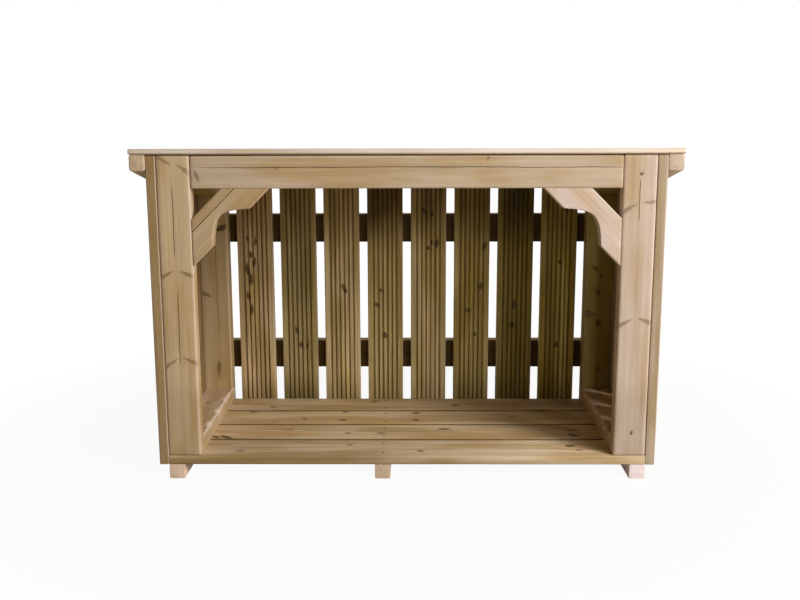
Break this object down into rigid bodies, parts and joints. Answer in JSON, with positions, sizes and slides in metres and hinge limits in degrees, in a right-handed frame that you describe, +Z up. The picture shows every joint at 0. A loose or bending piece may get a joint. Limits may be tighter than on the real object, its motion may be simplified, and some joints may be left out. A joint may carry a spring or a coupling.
{
  "type": "log store",
  "caption": "Open-fronted timber log store with grooved slatted back and sides, a boarded floor on skids, curved corner braces and a boarded roof that falls to the back.",
  "frame": {"origin": "centre of the bounding box's underside: the middle of the store on the level ground that the skids stand on", "axes": "+Z up, +X along the length of the store to the right as seen from the open front, -Y out of the open front"},
  "size_m": [1.536, 0.6904, 0.9591],
  "materials": {
    "frame": "satin",
    "slats": "matte",
    "floor": "matte",
    "roof": "matte",
    "skids": "matte"
  },
  "bodies": {
    "root": {"skid_left": "skids", "skid_centre": "skids", "skid_right": "skids", "floor_board_1": "floor", "floor_board_2": "floor", "floor_board_3": "floor", "floor_board_4": "floor", "front_post_left": "frame", "front_post_right": "frame", "rear_post_left": "frame", "rear_post_right": "frame", "front_beam": "frame", "brace_left": "frame", "brace_right": "frame", "bottom_rail_left": "frame", "bottom_rail_right": "frame", "top_rail_left": "frame", "top_rail_right": "frame", "rear_rail_upper": "frame", "rear_rail_lower": "frame", "back_slat_1": "slats", "back_slat_2": "slats", "back_slat_3": "slats", "back_slat_4": "slats", "back_slat_5": "slats", "back_slat_6": "slats", "back_slat_7": "slats", "back_slat_8": "slats", "back_slat_9": "slats", "back_slat_10": "slats", "side_slat_left_1": "slats", "side_slat_left_2": "slats", "side_slat_left_3": "slats", "side_slat_left_4": "slats", "side_slat_right_1": "slats", "side_slat_right_2": "slats", "side_slat_right_3": "slats", "side_slat_right_4": "slats", "roof_bearer_left": "roof", "roof_bearer_right": "roof", "roof_board_1": "roof", "roof_board_2": "roof", "roof_board_3": "roof", "roof_board_4": "roof", "roof_board_5": "roof"}
  },
  "joints": []
}
